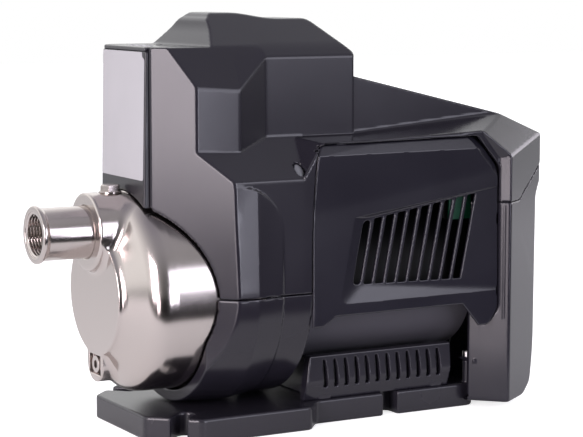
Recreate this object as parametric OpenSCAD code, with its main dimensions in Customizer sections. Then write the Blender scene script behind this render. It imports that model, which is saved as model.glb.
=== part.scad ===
// Booster pump with a stainless multistage head, moulded housing, speed controller and integral motor.
// The pump axis runs along X. The suction port faces -X and the floor is at Z = 0.
// Lengths are in millimetres.

/* [Overall] */
// Length from the suction lip to the rear cover
overall_length = 412; // [411:0.5:416]
// Half width across the front bulge of the housing
housing_half_width = 88.6; // [88.2:0.1:89.4]
// Height of the ridge above the floor
ridge_height = 309; // [307:0.5:312]
// Height of the pump axis above the floor
pump_axis_height = 103;
// Wall of the mouldings
wall = 3; // [2.6:0.1:3.2]

/* [Ports] */
// Height of the suction port axis above the floor
port_axis_height = 150;
// Minor radius of the one inch pipe thread
port_thread_radius = 15.15; // [15:0.05:15.3]
// Depth of the thread
port_thread_depth = 18; // [16:0.5:19]
// Bore behind the thread
port_bore_radius = 14; // [13.8:0.05:14.2]
// Outside radius of the port tubes
port_tube_radius = 19.6; // [19.2:0.1:20]
// Radius of the port lip
port_lip_radius = 21.15; // [20.8:0.05:21.4]
// Width of the port lip
port_lip_width = 3.2; // [2.5:0.1:4]
// Where the discharge tube leaves the casing
outlet_x = 122;
// Radius of the hole in the housing round the discharge tube
outlet_opening_radius = 24; // [23:0.2:26]

/* [Pump head] */
// Outside radius of the stainless can
can_radius = 74; // [73.6:0.1:74.4]
// Sheet thickness of the can
can_wall = 2.5; // [2.2:0.1:2.8]
// Back end of the can
can_back_x = 150;
// Radius of the flange at the back of the can
can_flange_radius = 80; // [79:0.2:81]
// Radius of the raised disc on the nose
nose_disc_radius = 45; // [44:0.2:46]
// Front face of the nose disc
nose_disc_x = 46.6; // [46:0.2:48]
// Radius of the dome's shoulder
dome_shoulder_radius = 72.4; // [72:0.1:73]
// Where the dome reaches its full radius
dome_shoulder_x = 66; // [65:0.5:67]
// Radius of the hump round the suction tube
hump_radius = 29; // [28:0.2:30]
// Front face of the hump
hump_x = 40; // [39:0.5:41]
// Radius of the drain boss
drain_boss_radius = 14; // [13.4:0.1:14.6]
// Height of the drain boss axis above the floor
drain_boss_height = 52;
// End of the suction tube inside the hump
suction_tube_end_x = 54; // [52:0.5:55]

/* [Plugs] */
// Radius of the vent and drain plug shanks
plug_radius = 5; // [4.6:0.05:5.2]
// Radial clearance of the plugs in their holes
plug_clearance = 0.15; // [0.1:0.05:0.25]
// Width across the corners of the vent plug hexagon
vent_hex_across_corners = 15.5; // [15:0.1:16.5]
// Position of the vent plug along the pump
vent_x = 60.5;

/* [Base] */
// Height of the base plate
base_height = 18; // [17.5:0.1:18.4]
// Front edge of the base
base_front_x = 66; // [65:0.5:67]
// Distance from the rear edge of the base to the rear of the cover
base_rear_setback = 66; // [65:0.5:68]
// Half width of the front edge
base_nose_half_width = 44.4; // [44:0.2:45]
// Half width of the wide front part
base_wide_half_width = 74; // [73.5:0.1:74.5]
// Half width of the narrow rear part
base_narrow_half_width = 58; // [57.5:0.1:58.5]
// Half width of each fixing slot
slot_radius = 6.2; // [5.8:0.1:6.6]
// Position of the rear fixing slots
rear_slot_x = 268;

/* [Motor] */
// Outside radius of the motor casing
motor_radius = 62; // [61.5:0.1:62.4]
// Thickness of the motor casing
motor_wall = 3.5; // [3:0.1:4]
// Shaft radius in the bearings
shaft_radius = 8.5; // [8.3:0.05:8.7]
// Running gap at the faces of the shaft seal
seal_gap = 0.05; // [0.02:0.01:0.08]
// Rotor radius
rotor_radius = 33; // [32.5:0.1:33.3]
// Air gap between rotor and stator
air_gap = 0.6; // [0.5:0.05:0.8]
// Outside radius of each impeller
impeller_radius = 50; // [48:0.5:51]

/* [Controls] */
// Radius of a control key
key_radius = 4; // [3.8:0.05:4.2]
// Radial clearance round a key
key_clearance = 0.25; // [0.2:0.05:0.35]
// Height of a key above the top deck
key_rise = 0.5; // [0.3:0.1:0.8]

/* [Vent panels] */
// Thickness of the side panels
panel_thickness = 3; // [2.6:0.1:3.2]
// Width of a grille slot across the panel
grille_slot_width = 7.2; // [6.8:0.1:7.6]
// Gap between the side panels and the housing
panel_gap = 0.6; // [0.5:0.05:0.8]

/* [Hidden] */
$fn = 96;
fit = 0.3;
inner_can = can_radius - can_wall;
chamfer_offset = 34.5;
seam_height = base_height + housing_half_width - 1.6;
rear_seam_height = 163;
rear_seam_top = 188;
side_half_width = housing_half_width - 3.6;
rear_half_width = housing_half_width - 7;
head_half_width = housing_half_width - 23.6;
deck_half_width = housing_half_width - 31.6;
tail_half_width = housing_half_width - 38.6;
mouth_half_width = housing_half_width - 20.6;
base_rear_x = overall_length - base_rear_setback;
motor_rear_x = overall_length - 72;
panel_rear_x = overall_length - 61.5;
panel_front_x = 186;
flare_x = overall_length - 55;
shoulder_rear_x = overall_length - 62;
facet_x = overall_length - 44.5;
mouth_x = overall_length - 76;
seam_step_x = overall_length - 60;
seam_rise_x = overall_length - 40;
top_deck_z = 285;
shell_front_x = 74.5;
vent_seat_z = port_axis_height + 27.5;
shaft_front_radius = 7;
hub_radius = 10;
screw_circle_radius = can_flange_radius - 2.9;
shaft_step_x = can_back_x + 2.2;
post_x = base_rear_x - 5;
post_y = 54;
gland_height = 60;
bearing_outer = 17.5;
bearing_width = 12;
front_bearing_x = 190;
rear_bearing_x = motor_rear_x - 34;
fan_x = motor_rear_x - 20;
core_front_x = front_bearing_x + 24;
core_rear_x = rear_bearing_x - 24;
coil_length = 10;
slot_count = 12;
grille_top_x = panel_front_x + 43;
grille_top_pitch = 10.4;
grille_bottom_x = panel_front_x + 33.5;
grille_bottom_pitch = 9.9;
grille_count = round((panel_rear_x - grille_top_x - 17.5) / grille_top_pitch);
cradle_front_x = 192;
cradle_length = motor_rear_x - 18 - cradle_front_x;
fin_pitch = 9.2;
fin_count = round((cradle_length - 19.6) / fin_pitch);
board_front_x = 200;
capacitor_pitch = (motor_rear_x - 46 - board_front_x - 16) / 3;
key_x = 86;
key_pitch = 12;
stage_positions = [84, 104, 124];

module place() {
  translate([-overall_length / 2, 0, 0]) children();
}

// A solid of revolution about the pump axis from a list of [x, radius] points.
module about_axis(points, z = pump_axis_height) {
  translate([0, 0, z])
    rotate([0, 90, 0])
      rotate_extrude()
        polygon([for (p = points) [p[1], p[0]]]);
}

module disc_x(x0, x1, r, y = 0, z = pump_axis_height) {
  translate([x0, y, z]) rotate([0, 90, 0]) cylinder(r = r, h = x1 - x0);
}

// Moves to a place along the pump axis and turns about that axis.
module about_shaft(x, angle) {
  translate([x, 0, pump_axis_height]) rotate([angle, 0, 0]) children();
}

module ring_x(x0, x1, r_out, r_in, y = 0, z = pump_axis_height) {
  difference() {
    disc_x(x0, x1, r_out, y, z);
    disc_x(x0 - 1, x1 + 1, r_in, y, z);
  }
}

module plan_prism(points, z0, z1) {
  translate([0, 0, z0]) linear_extrude(z1 - z0) polygon(mirrored(points));
}

module section_prism(points, x0, x1) {
  translate([x0, 0, 0]) rotate([90, 0, 90]) linear_extrude(x1 - x0) polygon(mirrored_flat(points));
}

module profile_prism(points, half_width = 120) {
  rotate([90, 0, 0]) linear_extrude(half_width * 2, center = true) polygon(points);
}

// Half plan outlines are listed with positive Y and closed by their mirror image.
function mirrored(points) =
  concat(points, [for (i = [len(points) - 1:-1:0]) [points[i][0], -points[i][1]]]);
function mirrored_flat(points) =
  concat(points, [for (i = [len(points) - 1:-1:0]) [-points[i][0], points[i][1]]]);

// Housing outline, drawn w inside the outer skin.
module hood(w) {
  s = w * 1.414;
  intersection() {
    plan_prism([
      [shell_front_x + w, shell_front_x - chamfer_offset + w - s],
      [head_half_width + chamfer_offset + s - w, head_half_width - w],
      [134, head_half_width - w],
      [160, deck_half_width - w],
      [235 - w, deck_half_width - w]
    ], 150, ridge_height + 11);
    section_prism([
      [17 - w * 0.3, ridge_height - w],
      [deck_half_width - 7.5 - w * 0.6, top_deck_z - w],
      [deck_half_width - w, 277.5 - w * 0.8],
      [head_half_width - w, 260 - w * 0.5],
      [head_half_width - w, 150]
    ], 60, 240);
    profile_prism([
      [shell_front_x + w, 150],
      [shell_front_x + w, top_deck_z - w],
      [119 + w * 0.6, top_deck_z - w],
      [133 + w * 0.6, ridge_height - w],
      [155, ridge_height - w],
      [165, ridge_height - 4.5 - w],
      [206 - w * 0.5, ridge_height - 4.5 - w],
      [235 - w, 281 - w * 0.4],
      [235 - w, 150]
    ]);
  }
}

module front_bulge(w, z0) {
  s = w * 1.414;
  intersection() {
    plan_prism([
      [shell_front_x + w, shell_front_x - chamfer_offset + w - s],
      [housing_half_width + chamfer_offset + s - w, housing_half_width - w],
      [139, housing_half_width - w],
      [143, side_half_width - w],
      [190, side_half_width - w]
    ], z0, 240);
    section_prism([
      [deck_half_width, 240],
      [deck_half_width - w, 218 - w * 0.4],
      [head_half_width - w * 0.7, 210 - w * 0.7],
      [housing_half_width - w, 186 - w * 0.4],
      [housing_half_width - w, z0]
    ], 60, 200);
  }
}

module facet_cut(w, side) {
  translate([facet_x, side * deck_half_width, 229.3])
    rotate([0, acos(0.611), side * atan2(0.71, 0.35)])
      translate([-200, -200, -w])
        cube([400, 400, 120]);
}

module rear_body(w, z0) {
  difference() {
    intersection() {
      plan_prism([
        [186, side_half_width - w],
        [shoulder_rear_x - w * 0.3, rear_half_width - w],
        [flare_x, housing_half_width - w * 1.25],
        [overall_length - w, tail_half_width - w * 0.5]
      ], z0, 270);
      section_prism([
        [deck_half_width - w, 262],
        [deck_half_width - w, 229.3 - w * 0.7],
        [side_half_width - w * 0.8, 218 - w],
        [housing_half_width - w, 216 - w],
        [housing_half_width - w, z0]
      ], 180, overall_length + 8);
      profile_prism([
        [180, z0],
        [180, 259 - w],
        [231, 259 - w],
        [facet_x, 229.5 - w],
        [overall_length - w, 212 - w],
        [overall_length - w, z0]
      ]);
    }
    facet_cut(w, 1);
    facet_cut(w, -1);
  }
}

module base_plate() {
  color([0.07, 0.07, 0.08])
    place()
      difference() {
        union() {
          plan_prism([
            [base_front_x, base_nose_half_width],
            [base_front_x + 32, base_wide_half_width],
            [189, base_wide_half_width],
            [199, base_narrow_half_width + 4],
            [204, base_narrow_half_width],
            [base_rear_x - 4, base_narrow_half_width],
            [base_rear_x, base_narrow_half_width - 4]
          ], 0, base_height);
          // posts that take the screws of the rear cover
          for (s = [-1, 1])
            translate([post_x, s * post_y, base_height - 2]) cylinder(r = 3.4, h = 20);
        }
        for (s = [-1, 1])
          translate([post_x, s * post_y, 6]) cylinder(r = 1.6, h = 40);
        // open underside with cross ribs
        for (x = [78, 122, 204, 276])
          translate([x, -38, -1])
            cube([x < 100 ? 38 : x < 200 ? 76 : x < 270 ? 66 : base_rear_x - 4 - x, 76, base_height - 3]);
        // front slots, open through the cut corners
        for (s = [-1, 1])
          translate([97, s * 50, -1])
            rotate([0, 0, s * 135])
              union() {
                cylinder(r = slot_radius, h = base_height + 2);
                translate([0, -slot_radius, 0]) cube([40, 2 * slot_radius, base_height + 2]);
              }
        // rear slots, open at the sides
        for (s = [-1, 1])
          translate([rear_slot_x, s * 47, -1])
            rotate([0, 0, s * 90])
              union() {
                cylinder(r = slot_radius, h = base_height + 2);
                translate([0, -slot_radius, 0]) cube([40, 2 * slot_radius, base_height + 2]);
              }
      }
}

module lower_shroud_solid(w) {
  intersection() {
    plan_prism([
      [104 + w, 104 - chamfer_offset - w * 0.4],
      [housing_half_width + chamfer_offset + w * 0.414, housing_half_width - w],
      [139, housing_half_width - w],
      [143, side_half_width - w],
      [184, side_half_width - w]
    ], base_height, seam_height - fit);
    union() {
      disc_x(60, 141, housing_half_width - w, 0, seam_height);
      disc_x(60, 185, side_half_width - w, 0, seam_height);
    }
  }
}

module lower_shroud() {
  color([0.08, 0.08, 0.09])
    place()
      difference() {
        lower_shroud_solid(0);
        intersection() {
          lower_shroud_solid(wall);
          translate([0, -housing_half_width, 0]) cube([184 - wall, 2 * housing_half_width, seam_height]);
        }
        disc_x(60, 184 - wall, can_radius + 1.5);
        disc_x(150, 200, motor_radius + 2);
        translate([outlet_x, 60, pump_axis_height])
          rotate([-90, 0, 0]) cylinder(r = outlet_opening_radius, h = 60);
      }
}

module upper_shroud() {
  color([0.08, 0.08, 0.09])
    place()
      difference() {
        union() {
          hood(0);
          front_bulge(0, seam_height + fit);
          intersection() {
            rear_body(0, seam_height + fit);
            profile_prism([
              [186, 300],
              [186, 205],
              [panel_rear_x - 20.5, 205],
              [seam_step_x, 186],
              [seam_step_x, rear_seam_height + fit],
              [seam_rise_x, rear_seam_height + fit],
              [overall_length, rear_seam_top + fit],
              [overall_length + 18, rear_seam_top + fit],
              [overall_length + 18, 300]
            ]);
          }
        }
        hood(wall);
        intersection() {
          front_bulge(wall, seam_height - 10);
          translate([0, -100, 0]) cube([187, 200, 400]);
        }
        intersection() {
          rear_body(wall, seam_height - 10);
          translate([186 + wall, -100, 0]) cube([300, 200, 400]);
        }
        // passages between the chambers of the moulding
        translate([110, 5 - deck_half_width, 160]) cube([100, 2 * deck_half_width - 10, 95]);
        translate([190, 7 - deck_half_width, 180]) cube([60, 2 * deck_half_width - 14, 66]);
        translate([180, 11 - side_half_width, seam_height + 3]) cube([30, 2 * side_half_width - 22, 84]);
        // front opening for the controls, and the opening round the can
        translate([60, -38.6, 120]) cube([30, 77.2, 170]);
        translate([70, -36.4, 270]) cube([47.4, 72.8, 20]);
        disc_x(60, 200, can_radius + 1.5);
        translate([outlet_x, 60, pump_axis_height])
          rotate([-90, 0, 0]) cylinder(r = outlet_opening_radius, h = 60);
        // opening for each side panel
        for (s = [-1, 1])
          scale([1, s, 1])
            translate([0, housing_half_width + 1.4, 0])
              rotate([90, 0, 0])
                linear_extrude(14)
                  panel_outline(panel_gap);
        lens_place() cylinder(r = 6.3, h = 14, center = true);
      }
}

// Centre of the oval lens, on the 45 degree shoulder of the near side.
module lens_place() {
  translate([176, -(side_half_width - 6.8), 196]) rotate([45.5, 0, 0]) scale([0.62, 1, 1]) children();
}

module panel_outline(grow) {
  g = grow;
  r = panel_rear_x;
  polygon([
    [184 - g, 79 - g],
    [184 - g, 160],
    [188 - g, 206],
    [192 - g, 213 + g],
    [r - 20.5 + g, 214.5 + g],
    [r + g, 191 + g],
    [r + g, 80 - g],
    [r - 8.5 + g, 68 - g],
    [r - 17.5 - g, 68 - g],
    [r - 34.5 - g, 88 - g],
    [203 + g, 85 - g],
    [193 + g, 79 - g]
  ]);
}

module grille_slots() {
  for (i = [0:grille_count - 1]) {
    top_x = grille_top_x + i * grille_top_pitch;
    bottom_x = grille_bottom_x + i * grille_bottom_pitch;
    top_z = 155 + i * 1.65;
    bottom_z = 108.5 - i * 0.2;
    polygon([
      [bottom_x, bottom_z],
      [bottom_x + grille_slot_width, bottom_z],
      [top_x + grille_slot_width, top_z + 1],
      [top_x, top_z]
    ]);
  }
}

// A tab of a side panel, behind the skin of the housing.
module panel_tab(x0, z0, x1, z1, depth) {
  intersection() {
    translate([x0, side_half_width - 25, z0]) cube([x1 - x0, 40, z1 - z0]);
    difference() {
      plan_prism([
        [170, side_half_width - panel_thickness - depth],
        [panel_rear_x + 9.5, rear_half_width - panel_thickness - depth]
      ], 60, 230);
      plan_prism([
        [160, side_half_width - panel_thickness - 2.2],
        [panel_rear_x + 19.5, rear_half_width - panel_thickness - 2.4]
      ], 50, 240);
    }
  }
}

module vent_panel(side) {
  scale([1, side, 1]) {
    for (t = [[panel_front_x + 20, 215.4], [panel_rear_x - 88.5, 215.8], [panel_rear_x - 38.5, 216.2]]) {
      panel_tab(t[0], 203, t[0] + 8, t[1], 0.4);
      panel_tab(t[0], 203, t[0] + 8, 211, -0.5);
    }
    for (z = [130, 178]) {
      panel_tab(panel_rear_x - 10.5, z, panel_rear_x + 2.5, z + 8, 0.4);
      panel_tab(panel_rear_x - 10.5, z, panel_rear_x - 2.5, z + 8, -0.5);
    }
    difference() {
      intersection() {
        translate([0, rear_half_width + 3.3, 0]) rotate([90, 0, 0]) linear_extrude(12) panel_outline(0);
        plan_prism([[180, side_half_width], [panel_rear_x + 1.5, rear_half_width]], 60, 230);
      }
      plan_prism([
        [170, side_half_width - panel_thickness + 0.16],
        [panel_rear_x + 9.5, rear_half_width - panel_thickness]
      ], 50, 240);
      translate([0, side_half_width + 15, 0]) rotate([90, 0, 0]) linear_extrude(40) grille_slots();
      // shallow frame round the grille
      translate([0, side_half_width - 1.1, 0])
        rotate([-90, 0, 0])
          mirror([0, 1, 0])
            linear_extrude(6)
              polygon([
                [grille_bottom_x - 8.5, 104],
                [panel_rear_x - 30.5, 102],
                [panel_rear_x - 15.5, 176],
                [grille_top_x - 7, 158]
              ]);
    }
  }
}

module vent_panel_near() {
  color([0.1, 0.1, 0.12]) place() vent_panel(-1);
}

module vent_panel_far() {
  color([0.1, 0.1, 0.12]) place() vent_panel(1);
}

module front_panel() {
  color([0.3, 0.29, 0.31])
    place()
      difference() {
        intersection() {
          translate([0, -37.8, 0]) cube([96, 75.6, top_deck_z]);
          profile_prism([
            [panel_face_x(178), 178],
            [panel_face_x(top_deck_z - 3), top_deck_z - 3],
            [110, top_deck_z - 3],
            [110, 178]
          ]);
        }
        disc_x(60, 110, hump_radius + 0.6, 0, port_axis_height);
        translate([panel_face_x(top_deck_z) + 2.4, -35.3, 182]) cube([80, 70.6, 120]);
      }
}

// Front face of the front panel, which leans back a little.
function panel_face_x(z) = 70.3 + (z - 178) * 2.2 / (top_deck_z - 3 - 178);

module rating_plate() {
  color([0.8, 0.8, 0.83])
    place()
      profile_prism([
        [panel_face_x(189) - 0.3, 189],
        [panel_face_x(281.5) - 0.3, 281.5],
        [panel_face_x(281.5), 281.5],
        [panel_face_x(189), 189]
      ], 36.4);
}

module control_panel() {
  color([0.16, 0.16, 0.17])
    place()
      difference() {
        union() {
          translate([72.7, -36, top_deck_z - 3]) cube([44.5, 72, 3]);
          for (x = [81, 109])
            for (s = [-1, 1])
              translate([x, s * 26, top_deck_z - 9.4]) cylinder(r = 2.2, h = 7);
        }
        translate([95, -15, top_deck_z - 1.2]) cube([16, 30, 2]);
        for (y = [-key_pitch, 0, key_pitch])
          translate([key_x, y, top_deck_z - 4]) cylinder(r = key_radius + key_clearance, h = 6);
      }
}

module display_window() {
  color([0.02, 0.02, 0.03]) place() translate([95.3, -14.7, top_deck_z - 1.2]) cube([15.4, 29.4, 1]);
}

module key_board() {
  color([0.05, 0.3, 0.15]) place() translate([78, -30, top_deck_z - 11]) cube([34, 60, 1.6]);
}

// A key is held up against the underside of the control panel by its spring.
module key(y) {
  color([0.75, 0.75, 0.76])
    place()
      translate([key_x, y, top_deck_z - 4.4]) {
        cylinder(r = key_radius, h = 4.4 + key_rise);
        cylinder(r = key_radius + 1.2, h = 1.4);
      }
}

module key_spring(y) {
  color([0.3, 0.3, 0.32])
    place()
      translate([key_x, y, top_deck_z - 9.4])
        difference() {
          cylinder(r = 2.4, h = 5);
          translate([0, 0, -1]) cylinder(r = 1.6, h = 8);
        }
}

module key_near() {
  key(-key_pitch);
}

module key_middle() {
  key(0);
}

module key_far() {
  key(key_pitch);
}

module key_spring_near() {
  key_spring(-key_pitch);
}

module key_spring_middle() {
  key_spring(0);
}

module key_spring_far() {
  key_spring(key_pitch);
}

module rear_cover_solid(w) {
  intersection() {
    plan_prism([
      [mouth_x + w, mouth_half_width - w],
      [flare_x, housing_half_width - w * 1.25],
      [overall_length - w, tail_half_width - w * 0.5]
    ], 6 + w, 200);
    profile_prism([
      [mouth_x - 6, 6 + w],
      [mouth_x - 6, rear_seam_height + w],
      [seam_rise_x, rear_seam_height + w],
      [overall_length - w, rear_seam_top + w],
      [overall_length - w, 174],
      [overall_length - 7 - w, 163],
      [overall_length - 8.5 - w, 40],
      [overall_length - 14 - w, 14 + w * 0.5],
      [overall_length - 27 - w, 6 + w]
    ]);
  }
}

module rear_cover() {
  color([0.09, 0.09, 0.1])
    place()
      difference() {
        union() {
          difference() {
            rear_cover_solid(0);
            rear_cover_solid(wall);
            // open front end round the base and the motor
            translate([mouth_x - 36, wall - mouth_half_width, 6 + wall])
              cube([60, 2 * (mouth_half_width - wall), rear_seam_top]);
            translate([mouth_x - 36, -base_narrow_half_width - 0.5, 0])
              cube([base_rear_x + fit - mouth_x + 36, 2 * base_narrow_half_width + 1, 40]);
            // seats of the side panels
            for (s = [-1, 1])
              scale([1, s, 1])
                translate([0, housing_half_width + 1.4, 0])
                  rotate([90, 0, 0])
                    linear_extrude(14)
                      panel_outline(panel_gap);
            // air inlet louvres
            for (i = [0:5])
              translate([overall_length - 32, -32, 84 + i * 12]) cube([60, 64, 5]);
          }
          // lugs on the posts of the base
          for (s = [-1, 1])
            scale([1, s, 1])
              translate([mouth_x + 0.5, post_y - 4.5, base_height + 18])
                cube([base_rear_x - mouth_x - 0.5, mouth_half_width - post_y + 4.5, 3]);
          // flat seat of the cable gland
          disc_x(overall_length - 11.5, overall_length - 7.8, 16, 0, gland_height);
        }
        for (s = [-1, 1])
          translate([post_x, s * post_y, 20]) cylinder(r = 1.9, h = 40);
        disc_x(overall_length - 32, overall_length + 18, 10.3, 0, gland_height);
      }
}

module ribbed_cradle() {
  color([0.12, 0.12, 0.13])
    place()
      difference() {
        union() {
          for (s = [-1, 1])
            scale([1, s, 1]) {
              // side wall with its sloped foot
              translate([cradle_front_x, 0, 0])
                rotate([90, 0, 90])
                  linear_extrude(cradle_length)
                    polygon([[50, base_height], [50, 52], [58.5, 52], [60, 33], [56, 31], [54, base_height]]);
              for (i = [0:fin_count - 1])
                translate([cradle_front_x + 14.5 + i * fin_pitch, 58.6, 34])
                  rotate([0, -14, 0]) cube([2.2, 2, 16]);
            }
          for (x = [cradle_front_x + 14, cradle_front_x + cradle_length - 16])
            translate([x, -56, base_height]) cube([10, 112, 30]);
        }
        disc_x(150, 380, motor_radius);
        for (s = [-1, 1])
          for (i = [0:fin_count - 1])
            translate([cradle_front_x + 16.6 + i * fin_pitch, s * 56 - (s < 0 ? 14 : 0), 34])
              rotate([0, -14, 0]) cube([2.4, 14, 15]);
      }
}

module status_lens() {
  color([0.6, 0.65, 0.7])
    place()
      lens_place() {
        translate([0, 0, -3.6]) cylinder(r = 6, h = 3.3);
        translate([0, 0, -3.9]) cylinder(r = 7.6, h = 1.1);
      }
}

// Stainless head: pressed can, domed nose with its raised disc, hump round the suction tube and drain boss.
module casing_outer() {
  about_axis([
    [nose_disc_x, 0],
    [nose_disc_x, nose_disc_radius - 1],
    [nose_disc_x + 1, nose_disc_radius],
    [nose_disc_x + 4, nose_disc_radius],
    [dome_shoulder_x - 2, dome_shoulder_radius - 2],
    [dome_shoulder_x, dome_shoulder_radius],
    [70, dome_shoulder_radius],
    [76, can_radius],
    [can_back_x - 4, can_radius],
    [can_back_x - 4, can_flange_radius],
    [can_back_x, can_flange_radius],
    [can_back_x, 0]
  ]);
  intersection() {
    disc_x(hump_x, 80, hump_radius, 0, port_axis_height);
    about_axis([[hump_x, 0], [hump_x, 73], [hump_x + 4, 76.5], [90, 76.5], [90, 0]]);
  }
  disc_x(nose_disc_x, dome_shoulder_x, drain_boss_radius, 0, drain_boss_height);
  translate([nose_disc_x, -drain_boss_radius, drain_boss_height])
    cube([12, 2 * drain_boss_radius, 20]);
}

module pump_casing() {
  color([0.72, 0.7, 0.68])
    place()
      difference() {
        casing_outer();
        about_axis([
          [nose_disc_x + 3, 0],
          [nose_disc_x + 3, nose_disc_radius - 3],
          [dome_shoulder_x, dome_shoulder_radius - 4],
          [72, inner_can],
          [can_back_x + 1, inner_can],
          [can_back_x + 1, 0]
        ]);
        // suction bore into the casing
        disc_x(hump_x - 1, suction_tube_end_x, port_tube_radius + 0.02, 0, port_axis_height);
        disc_x(hump_x - 1, 70, port_bore_radius + 1, 0, port_axis_height);
        translate([outlet_x, 50, pump_axis_height])
          rotate([-90, 0, 0]) cylinder(r = port_tube_radius + 0.02, h = 40);
        // vent hole at the top and drain hole in the boss
        translate([vent_x - 9.4, -15, vent_seat_z]) cube([18.8, 30, 8]);
        translate([vent_x, 0, port_axis_height + 10])
          cylinder(r = plug_radius + plug_clearance, h = 30);
        translate([outlet_x - 12, 0, pump_axis_height + can_radius - 8]) cylinder(r = 5.15, h = 20);
        translate([nose_disc_x - 5, -10, 44]) cube([9, 20, 14]);
        disc_x(nose_disc_x - 5, 72, plug_radius + plug_clearance, 0, 51);
        for (a = [22.5:45:359])
          about_shaft(140, a)
            translate([0, screw_circle_radius, 0]) rotate([0, 90, 0]) cylinder(r = 1.6, h = 20);
      }
}

module suction_tube() {
  color([0.76, 0.74, 0.72])
    place()
      difference() {
        union() {
          disc_x(0, suction_tube_end_x, port_tube_radius, 0, port_axis_height);
          disc_x(0, port_lip_width, port_lip_radius, 0, port_axis_height);
        }
        disc_x(-1, port_thread_depth, port_thread_radius, 0, port_axis_height);
        disc_x(-1, 80, port_bore_radius, 0, port_axis_height);
      }
}

module discharge_tube() {
  color([0.76, 0.74, 0.72])
    place()
      difference() {
        union() {
          translate([outlet_x, 60, pump_axis_height])
            rotate([-90, 0, 0]) cylinder(r = port_tube_radius, h = housing_half_width - 60);
          translate([outlet_x, housing_half_width - port_lip_width, pump_axis_height])
            rotate([-90, 0, 0]) cylinder(r = port_lip_radius, h = port_lip_width);
        }
        translate([outlet_x, 50, pump_axis_height])
          rotate([-90, 0, 0]) cylinder(r = port_bore_radius, h = 60);
        translate([outlet_x, housing_half_width - port_thread_depth, pump_axis_height])
          rotate([-90, 0, 0]) cylinder(r = port_thread_radius, h = 60);
      }
}

module dome_gasket() {
  color([0.05, 0.05, 0.05]) place() ring_x(can_back_x, can_back_x + 1.5, can_radius - 1, can_radius - 3.4);
}

module diffusers() {
  color([0.55, 0.56, 0.52])
    place()
      for (x = stage_positions)
        difference() {
          union() {
            ring_x(x + 10, x + 12, inner_can - 0.02, hub_radius + fit);
            ring_x(x - 2, x + 17.8, inner_can - 0.02, inner_can - 3);
            for (a = [22.5:45:359])
              translate([x + 1, 0, pump_axis_height])
                rotate([a, 0, 0]) translate([0, 53, -1]) cube([9.5, 16, 2]);
          }
          if (x > 90)
            translate([outlet_x, 50, pump_axis_height])
              rotate([-90, 0, 0]) cylinder(r = port_tube_radius + 1, h = 40);
        }
}

module back_plate() {
  color([0.6, 0.6, 0.6])
    place()
      difference() {
        disc_x(can_back_x + 1.5, can_back_x + 6.5, can_flange_radius);
        disc_x(can_back_x, can_back_x + 10, 14);
        for (a = [22.5:45:359])
          about_shaft(140, a)
            translate([0, screw_circle_radius, 0]) rotate([0, 90, 0]) cylinder(r = 1.6, h = 30);
      }
}

module casing_screws() {
  color([0.65, 0.65, 0.66])
    place()
      for (a = [22.5:45:359])
        translate([0, 0, pump_axis_height])
          rotate([a, 0, 0]) translate([0, screw_circle_radius, 0]) {
            disc_x(can_back_x - 7, can_back_x - 4, 2.7, 0, 0);
            disc_x(can_back_x - 7, can_back_x + 6, 1.5, 0, 0);
          }
}

module motor_adapter() {
  color([0.3, 0.3, 0.31])
    place()
      difference() {
        union() {
          disc_x(can_back_x + 6.5, 162, 76);
          disc_x(162, front_bearing_x - 2, 50);
          disc_x(front_bearing_x - 6, front_bearing_x - 2, motor_radius);
        }
        disc_x(150, 200, 20);
        disc_x(166, front_bearing_x - 8, 44);
        for (a = [45:90:359])
          about_shaft(174, a) translate([0, 47, 0]) cube([12, 20, 30], center = true);
      }
}

module seal_seat() {
  color([0.82, 0.8, 0.74]) place() ring_x(can_back_x + 1.8, can_back_x + 6.5, 14, shaft_radius + 1);
}

module valve_cage() {
  color([0.85, 0.85, 0.82])
    place()
      difference() {
        disc_x(22, 46, port_bore_radius - 0.02, 0, port_axis_height);
        disc_x(20, 26, 9, 0, port_axis_height);
        disc_x(25, 43, port_bore_radius - 1.4, 0, port_axis_height);
        disc_x(40, 50, 2, 0, port_axis_height);
        // three windows round the stem guide
        difference() {
          ring_x(42, 48, port_bore_radius - 2, 4.5, 0, port_axis_height);
          for (a = [0:120:359])
            translate([40, 0, port_axis_height]) rotate([a, 0, 0]) translate([0, -1, 0]) cube([10, 2, 20]);
        }
      }
}

module valve_poppet() {
  color([0.15, 0.15, 0.16])
    place() {
      disc_x(25.05, 28, 11, 0, port_axis_height);
      disc_x(27, 46, 1.95, 0, port_axis_height);
    }
}

module valve_spring() {
  color([0.7, 0.7, 0.7]) place() ring_x(28, 43, 3.6, 2.6, 0, port_axis_height);
}

module motor_casing() {
  color([0.1, 0.1, 0.11])
    place()
      difference() {
        union() {
          disc_x(front_bearing_x - 2, motor_rear_x, motor_radius);
          // posts under the power board
          for (x = [210, motor_rear_x - 12])
            for (s = [-1, 1])
              translate([x, s * 40, 140]) cylinder(r = 4, h = 32);
        }
        disc_x(150, motor_rear_x - 4, motor_radius - motor_wall);
        difference() {
          for (r = [16, 26, 36, 46])
            ring_x(motor_rear_x - 10, motor_rear_x + 10, r + 5.5, r);
          for (a = [0, 60, 120])
            about_shaft(fan_x, a) translate([0, -60, -2]) cube([40, 120, 4]);
        }
      }
}

module stator_core() {
  color([0.42, 0.42, 0.44])
    place()
      difference() {
        disc_x(core_front_x, core_rear_x, motor_radius - motor_wall - 0.02);
        disc_x(core_front_x - 10, core_rear_x + 10, rotor_radius + air_gap);
        for (i = [0:slot_count - 1])
          about_shaft(core_front_x - 10, i * 360 / slot_count)
            translate([0, 38, -2.2]) cube([core_rear_x - core_front_x + 20, 11, 4.4]);
      }
}

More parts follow.
